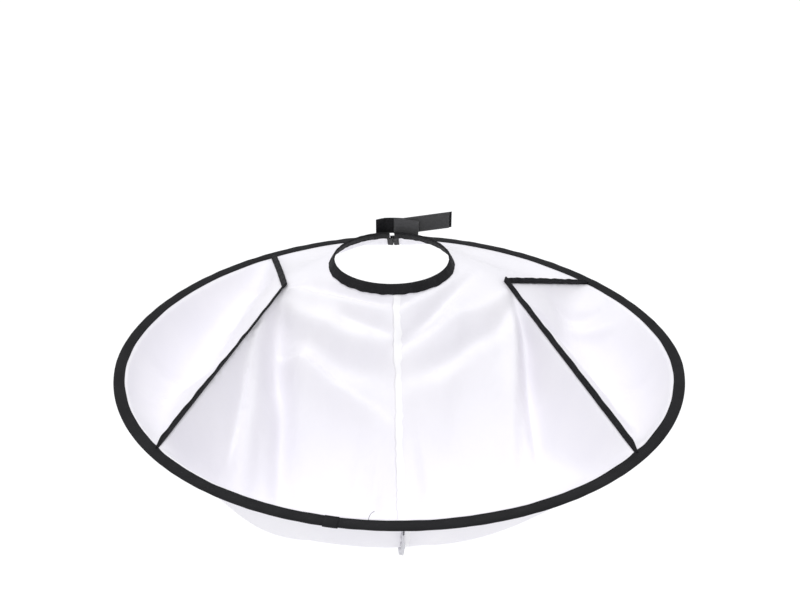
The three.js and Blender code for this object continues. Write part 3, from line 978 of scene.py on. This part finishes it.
def make_wearer():
    turns = np.linspace(0, 2 * np.pi, 97)[:-1]
    knots = np.array(WEARER, float) * MM
    rows = []
    for z, a, b, y in spline(knots, 60):
        rows.append(np.stack([a * np.cos(turns), y + b * np.sin(turns), np.full(len(turns), z)], axis=1))
    points, faces, _ = sweep(rows)
    wearer = added("wearer", new_mesh("wearer", points, faces))
    wearer.modifiers.new("collision", "COLLISION")
    wearer.collision.thickness_outer = 2 * MM
    wearer.collision.cloth_friction = 20
    return wearer


SETTLE_FRAMES = 36
SLACK = 0.02  # how much larger than its first shape the cloth is, as a share


def held_points(flat):
    """Which points of the cloth its tapes hold."""
    hem, _ = edge_reaches(flat)
    reach = reach_of(flat)
    leaves = reach_of(mouth(hoop_angle(bearing(flat))))
    held = (reach > leaves - 0.3 * MM) | (reach < hem + COLLAR_HEM + 1 * MM)
    for name in SIDES:
        for which in ("front", "back"):
            p, q = seam_ends(name, which)
            run = (q - p)[:2]
            t = np.clip(((flat - p[:2]) @ run) / (run @ run), 0, 1)
            held |= np.linalg.norm(flat - p[:2] - t[:, None] * run, axis=1) < 0.2 * MM
    held |= (flat[:, 1] > NECK[1]) & (np.abs(beside(flat, BACK_DEG)) < SLIT_HALF + 1.5 * MM)
    return held


def settled(flat, faces, points):
    """The cloth after it has settled over the wearer, held by its tapes."""
    wearer = make_wearer()
    cloth = added("settling", new_mesh("settling", points, faces.tolist()))
    group = cloth.vertex_groups.new(name="held")
    held = np.nonzero(held_points(flat))[0].tolist()
    group.add(held, 1.0, "REPLACE")
    simulation = cloth.modifiers.new("cloth", "CLOTH")
    settings = simulation.settings
    settings.vertex_group_mass = group.name
    settings.shrink_min = -SLACK
    settings.quality = 6
    settings.mass = 0.02
    settings.tension_stiffness = 20
    settings.compression_stiffness = 20
    settings.shear_stiffness = 5
    settings.bending_stiffness = 0.05
    settings.air_damping = 2
    simulation.collision_settings.distance_min = 1.5 * MM
    simulation.collision_settings.use_self_collision = False
    simulation.point_cache.frame_end = SETTLE_FRAMES
    scene = bpy.context.scene
    for number in range(1, SETTLE_FRAMES + 1):
        scene.frame_set(number)
    shape = cloth.evaluated_get(bpy.context.evaluated_depsgraph_get()).to_mesh()
    found = np.zeros(len(points) * 3, np.float32)
    shape.vertices.foreach_get("co", found)
    for gone in (cloth, wearer):
        bpy.data.objects.remove(gone)
    scene.frame_set(1)
    return found.reshape(-1, 3).astype(float)


# Rounds of smoothing: before the cloth settles, after it has, and on the finer mesh before and after the
# folds are added.
SMOOTH_FIRST = 8
SMOOTH_SETTLED = 10
SMOOTH_FINE = 3
SMOOTH_FOLDED = 2


def smoothed(points, faces, held, rounds):
    """Moves the free points half way to the middle of their neighbours in each round."""
    pairs = np.vstack([faces[:, [0, 1]], faces[:, [1, 2]], faces[:, [2, 0]]])
    pairs = np.unique(np.sort(pairs, axis=1), axis=0)
    count = np.bincount(pairs.ravel(), minlength=len(points)).astype(float)
    free = (~held)[:, None]
    for _ in range(rounds):
        total = np.zeros_like(points)
        np.add.at(total, pairs[:, 0], points[pairs[:, 1]])
        np.add.at(total, pairs[:, 1], points[pairs[:, 0]])
        points = np.where(free, points + 0.5 * (total / count[:, None] - points), points)
    return points


def finer(flat, faces, points):
    """Each triangle as four."""
    sides = np.sort(faces[:, [0, 1, 1, 2, 2, 0]].reshape(-1, 2), axis=1)
    edges, which = np.unique(sides, axis=0, return_inverse=True)
    middle = which.reshape(-1, 3) + len(points)
    a, b, c = faces.T
    ab, bc, ca = middle.T
    parts = ((a, ab, ca), (b, bc, ab), (c, ca, bc), (ab, bc, ca))
    faces = np.concatenate([np.stack(part, axis=1) for part in parts])
    flat = np.vstack([flat, flat[edges].mean(axis=1)])
    points = np.vstack([points, points[edges].mean(axis=1)])
    return flat, faces, points


def clear_of_tapes(flat, held):
    """0 at the held points, and 1 where the cloth is far enough from them to fold."""
    return smooth(distances(flat, flat[held]), 0.0, FOLD_CLEAR)


# Each panel's piece, the node it stands for, the flat size of its cloth in metres and its area in m2.
PANELS = [
    ("body_cloth_right", "body_panel_right", (0.42, 0.66), 0.16),
    ("body_cloth_left", "body_panel_left", (0.42, 0.66), 0.16),
    ("gusset_cloth_right", "side_gusset_right", (0.40, 0.30), 0.066),
    ("gusset_cloth_left", "side_gusset_left", (0.40, 0.30), 0.058),
]


EDGING_STARTS = 2 * MM  # below the collar's tape
EDGING_STOPS = 13 * MM  # short of the cloth's edge in the hoop's tape


def front_seam_line(flat, points):
    """The cloth's own points along the front seam, from the collar out to the hoop's tape."""
    a, b = radial(FRONT_DEG)
    run = unit(b - a)
    away = flat - a
    offset = np.abs(away[:, 0] * run[1] - away[:, 1] * run[0])
    along = away @ run
    length = np.linalg.norm(b - a)
    chosen = (offset < 0.05 * MM) & (along > COLLAR_HEM + EDGING_STARTS) & (along < length - EDGING_STOPS)
    return points[chosen][np.argsort(along[chosen])]


def make_cloth():
    flat, faces = trimmed(*cloth_plan())
    points = lift_cloth(flat)
    normal = np.cross(points[faces[:, 1]] - points[faces[:, 0]], points[faces[:, 2]] - points[faces[:, 0]])
    faces = np.where((normal[:, 2] < 0)[:, None], faces[:, ::-1], faces)
    held = held_points(flat)
    points = smoothed(points, faces, held, SMOOTH_FIRST)
    points = smoothed(settled(flat, faces, points), faces, held, SMOOTH_SETTLED)
    flat, faces, points = finer(flat, faces, points)
    held = held_points(flat)
    points = smoothed(points, faces, held, SMOOTH_FINE)
    points[:, 2] += fold_height(flat) * clear_of_tapes(flat, held)
    points = smoothed(points, faces, held, SMOOTH_FOLDED)
    seam = front_seam_line(flat, points)
    panel = panel_of(flat[faces].mean(axis=1))
    for k, (name, node, flat_size, area) in enumerate(PANELS):
        shape, uv, kept = part_mesh(points, flat, faces, panel == k)
        finish_cloth(name, shape, uv, kept, node)
    return seam


# ---------------------------------------------------------------- the tapes on the cloth


SEAM_AT_SHOULDER = 2.5 * MM  # how far the tapes run on where they meet on the shoulder
SEAM_OVER_HOOP = 5 * MM  # and in over the hoop's tape
SEAM_TAPER = 0.45  # how much smaller their sections are at the hoop
SEAM_TAPER_FROM = 0.94


def seam_line(side, which):
    """Points along a side seam, from the shoulder to the hoop."""
    p, q = seam_ends(side, which)
    way = unit(q - p)
    share = np.linspace(0.0, 1.0, SEAM_STATIONS)
    whole = q - p + way * (SEAM_AT_SHOULDER + SEAM_OVER_HOOP)
    return p - way * SEAM_AT_SHOULDER + whole * share[:, None], share


def folded_tape(line, up, side, height, half, foot, thickness):
    """Sections of a tape that is folded over an edge which stands up along a line."""
    leg = [(foot, -half), (foot + height * 0.35, -half * 1.05), (height * 0.8, -half),
           (height * 0.95, -half * 0.75)]
    path = folded_path(leg, (height, 0))[:, ::-1]
    return place(outline(path, thickness), line, side, up)


# How far each side seam's tape leans over, in degrees, from the shoulder to the hoop: towards the
# gusset is more than 0.
LEAN = {
    ("right", "front"): (-36, -32, -24, -12, 0, 8),
    ("right", "back"): (-48, -56, -62, -54, -44),
    ("left", "front"): (4, 8, 14, 22, 28, 30),
    ("left", "back"): (14, 10, 14, 20, 22),
}


def make_seam_tapes():
    for (side, which), lean in LEAN.items():
        line, share = seam_line(side, which)
        along = unit(np.gradient(line, axis=0))
        level = unit(np.cross(along, UP))
        outward = np.sign(line[-1, 0]) * np.sign(level[0, 0])
        level = level * outward
        upright = np.cross(level, along) * outward
        upright = upright * np.sign(upright[:, 2:])
        knots = np.stack([np.linspace(0, 1, len(lean)), np.array(lean, float)], axis=1)
        tilt = np.radians(np.interp(share, *spline(knots, SEAM_STATIONS).T))
        tilt += np.radians(3) * np.sin(share * 40) + np.radians(2) * np.sin(share * 73 + 1)
        up = upright * np.cos(tilt)[:, None] + level * np.sin(tilt)[:, None]
        across = level * np.cos(tilt)[:, None] - upright * np.sin(tilt)[:, None]
        rows = folded_tape(line, up, across, SEAM_HEIGHT, SEAM_HALF, SEAM_TAPE, SEAM_TAPE)
        shrink = 1 - SEAM_TAPER * smooth(share, SEAM_TAPER_FROM, 1.0)
        rows = line[:, None] + (rows - line[:, None]) * shrink[:, None, None]
        tape = swept(f"seam_tape_{side}_{which}", rows, BLACK_TAPE)
        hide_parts(f"seam_binding_{side}_{which}")
        sewing = []
        for face in (1, -1):
            path = line + up * (SEAM_HEIGHT * 0.3) + across * (face * 1.45 * MM)
            sewing.append((path[3:-3], across[3:-3] * face))
        sewn(f"seam_stitching_{side}_{which}", sewing)


def collar_point(phi, down, off):
    fold, down_way, _, outer = collar_frame(phi)
    return fold + down_way * down[:, None] + outer * off[:, None]


def make_collar():
    phi = np.radians(np.linspace(90 + COLLAR_GAP_DEG, 450 - COLLAR_GAP_DEG, 361))
    fold, down, depth, outer = collar_frame(phi)
    pucker = 1 + 0.10 * np.sin(phi * 31) + 0.08 * np.sin(phi * 53 + 1)
    deep = depth * (1 + 0.025 * np.sin(phi * 17) + 0.02 * np.sin(phi * 29 + 2))
    leg = [(1.0, -1.0), (0.85, -0.8), (0.72, -1.0), (0.3, -1.05), (0.05, -0.9), (-0.02, -0.5)]
    path = folded_path(leg, (-0.04, 0)) * (depth.mean(), COLLAR_HALF)
    shape = np.broadcast_to(outline(path, COLLAR_TAPE), (len(phi), 2 * len(path), 2)).copy()
    shape[..., 0] *= (deep / depth.mean())[:, None]
    shape[..., 1] *= pucker[:, None]
    collar = swept("collar_tape", place(shape, fold, down, outer), BLACK_TAPE)
    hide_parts("collar_binding")
    sewing = []
    for side in (1, -1):
        off = side * (COLLAR_HALF * 0.8 * pucker + COLLAR_TAPE / 2)
        sewing.append((collar_point(phi, deep * 0.85, off)[2:-2], outer[2:-2] * side))
    sewn("collar_stitching", sewing)


SLIT_TAPE = 0.6 * MM
SLIT_SEWN_AT = 6.5 * MM  # from the middle of the slit


def slit_line():
    """The middle of the slit in the back, from the collar to the hoop's tape."""
    end = mouth(BACK_DEG)[0, :2]
    low = oval_point(COLLAR_LOW, bearing(end[None])[0])[0, :2]
    flat = low + (end - low) * np.linspace(0.01, 0.985, SLIT_STATIONS)[:, None]
    return np.column_stack([flat, height_of(flat)])


def make_slit_tapes():
    line = slit_line()
    along = unit(np.gradient(line, axis=0))
    for name, turn in (("right", -1), ("left", 1)):
        across = np.broadcast_to((turn, 0.0, 0.0), line.shape)
        square = np.cross(along, across) * turn
        square = square * np.sign(square[:, 2:])
        leg = [(8, 0.9), (6.5, 0.75), (4, 1.1), (1.6, 1.2), (0.9, 0.7)]
        shape = outline(folded_path(leg, (0.75, 0)) * MM, SLIT_TAPE)
        ripple = 1 + 0.12 * np.sin(np.arange(len(line)) * 0.9)
        shape = shape[None] * np.stack([np.ones(len(line)), ripple], axis=1)[:, None]
        tape = swept(f"slit_tape_{name}", place(shape, line, across, square), BLACK_TAPE)
        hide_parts(f"slit_binding_{name}")
        sewing = []
        for side in (1, -1):
            path = line + across * SLIT_SEWN_AT + square * (side * 1.08 * MM)
            sewing.append((path, square * side))
        sewn(f"slit_stitching_{name}", sewing)


def make_front_seam(seam):
    """The edging that hangs under the front seam, along the cloth's own points on the seam."""
    run = lengths_along(seam)
    line = resampled(seam, run, np.linspace(0, run[-1], EDGING_STATIONS))
    along = unit(np.gradient(line, axis=0))
    across = np.broadcast_to((1.0, 0.0, 0.0), line.shape)
    down = np.cross(along, across)
    down = down * -np.sign(down[:, 2:])
    share = np.linspace(0, 1, len(line))
    sway = np.radians(10) * np.sin(share * 9) + np.radians(6) * np.sin(share * 23)
    lean_down = down * np.cos(sway)[:, None] + across * np.sin(sway)[:, None]
    lean_across = across * np.cos(sway)[:, None] - down * np.sin(sway)[:, None]
    rows = folded_tape(line, lean_down, lean_across, EDGING_HEIGHT, EDGING_HALF, EDGING_HALF, EDGING_TAPE)
    edging = swept("front_seam_edging", rows, WHITE_TAPE)
    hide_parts("front_seam_binding")
    sewing = []
    for face in (1, -1):
        path = line + lean_down * (4 * MM) + lean_across * (face * 1.05 * MM)
        sewing.append((path[2:-2], lean_across[2:-2] * face))
    sewn("front_seam_stitching", sewing, WHITE_THREAD, "white_cloth")


# ---------------------------------------------------------------- the closure


def strap_line(offset, from_deg, short):
    """Round the back of the collar, and then straight out past the neck."""
    degrees = np.linspace(from_deg, STRAP_LEAVES_DEG, CLOSURE_STATIONS)
    to_root = np.maximum(0, (degrees - STRAP_STEP_ENDS_DEG) / (STRAP_ROOT_DEG - STRAP_STEP_ENDS_DEG))
    arc = oval_point(CLOSURE_OVAL, np.radians(degrees), offset - STRAP_STEP * to_root)
    run = np.linspace(0, STRAP_REACH - short, CLOSURE_STATIONS)[1:]
    straight = arc[-1] + np.stack([run, STRAP_SLOPE * run, STRAP_RISE * run], axis=1)
    return np.vstack([arc, straight])


def webbing(name, line, thickness, material, body=None):
    """A band that stands up along a line, with soft rounded selvedges."""
    half = thickness / 2
    edge = 0.35 * half
    levels = np.linspace(0.03, 0.97, 9) * CLOSURE_HEIGHT
    section = [(0, -edge), *[(z, -half) for z in levels], (CLOSURE_HEIGHT, -edge)]
    section += [(z, -side) for z, side in reversed(section)]
    along = unit(np.gradient(line, axis=0))
    out = unit(np.cross(along, UP))
    up = np.broadcast_to(UP, line.shape)
    return swept(name, place(np.array(section), line, up, out), material, body=body)


def make_closure():
    line = strap_line(STRAP_OFFSET, STRAP_ROOT_DEG, 0)
    strap = webbing("neck_strap", line, STRAP_THICKNESS, BLACK_TAPE)
    line = strap_line(HOOK_OFFSET, HOOK_FROM_DEG, HOOK_SHORT)
    hooks = webbing("strap_hook_tape", line, LINING_THICKNESS, HOOK_FACE)
    for piece, node in ((strap, "closure_strap"), (hooks, "closure_hook_tape")):
        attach(piece, "closure")
        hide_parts(node)
    degrees = np.linspace(LOOP_FROM_DEG, LOOP_TO_DEG, CLOSURE_STATIONS)
    line = oval_point(CLOSURE_OVAL, np.radians(degrees), LOOP_OFFSET)
    loops = webbing("collar_loop_tape", line, LINING_THICKNESS, LOOP_FACE, body="cape")
    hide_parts("closure_loop_tape")


# ---------------------------------------------------------------- camera, light and floor


CAMERA_PLACE = (0.011, -1.673, 1.177)
CAMERA_DOWN_DEG = 36.56  # below level
CAMERA_LENS_MM = 69.0
CAMERA_SENSOR_MM = 36
WORLD_STRENGTH = 0.72
SUN_TOWARDS = (0.12, 0.12, -1.0)
SUN_SOFTNESS_DEG = 40
SUN_STRENGTH = 1.45
FLOOR_Z = -3.0
FLOOR_HALF = 40


def make_camera():
    camera = added("camera", bpy.data.cameras.new("camera"))
    camera.data.lens = CAMERA_LENS_MM
    camera.data.sensor_width = CAMERA_SENSOR_MM
    camera.location = CAMERA_PLACE
    camera.rotation_euler = (math.radians(90 - CAMERA_DOWN_DEG), 0, 0)
    bpy.context.scene.camera = camera


def make_studio():
    """A bright even world and one broad soft light, almost straight down."""
    world = bpy.data.worlds.new("studio")
    bpy.context.scene.world = world
    world.use_nodes = True
    background = world.node_tree.nodes["Background"]
    background.inputs["Color"].default_value = (0.985, 0.99, 1.0, 1)
    background.inputs["Strength"].default_value = WORLD_STRENGTH
    light = added("key", bpy.data.lights.new("key", "SUN"))
    light.data.energy = SUN_STRENGTH
    light.data.angle = math.radians(SUN_SOFTNESS_DEG)
    light.rotation_euler = Vector(SUN_TOWARDS).to_track_quat("-Z", "Y").to_euler()
    bpy.context.scene.view_settings.view_transform = "Standard"


def make_floor():
    signs = [(-1, -1), (1, -1), (1, 1), (-1, 1)]
    corners = [(x * FLOOR_HALF, y * FLOOR_HALF, FLOOR_Z) for x, y in signs]
    mesh = new_mesh("floor", corners, [(0, 1, 2, 3)])
    floor = added("floor", mesh)
    made = Shading("pale_floor", 0.9)
    mottle = made.noise(made.coordinates("Object"), 3.0)
    made.base(made.ramp(mottle, [(0.3, (0.93, 0.93, 0.94)), (0.7, (0.96, 0.96, 0.965))]))
    mesh.materials.append(made.material)


make_camera()
make_studio()
make_floor()
make_hoop_tape()
make_loose_thread()
make_wire()
front_seam = make_cloth()
make_seam_tapes()
make_collar()
make_slit_tapes()
make_front_seam(front_seam)
make_closure()
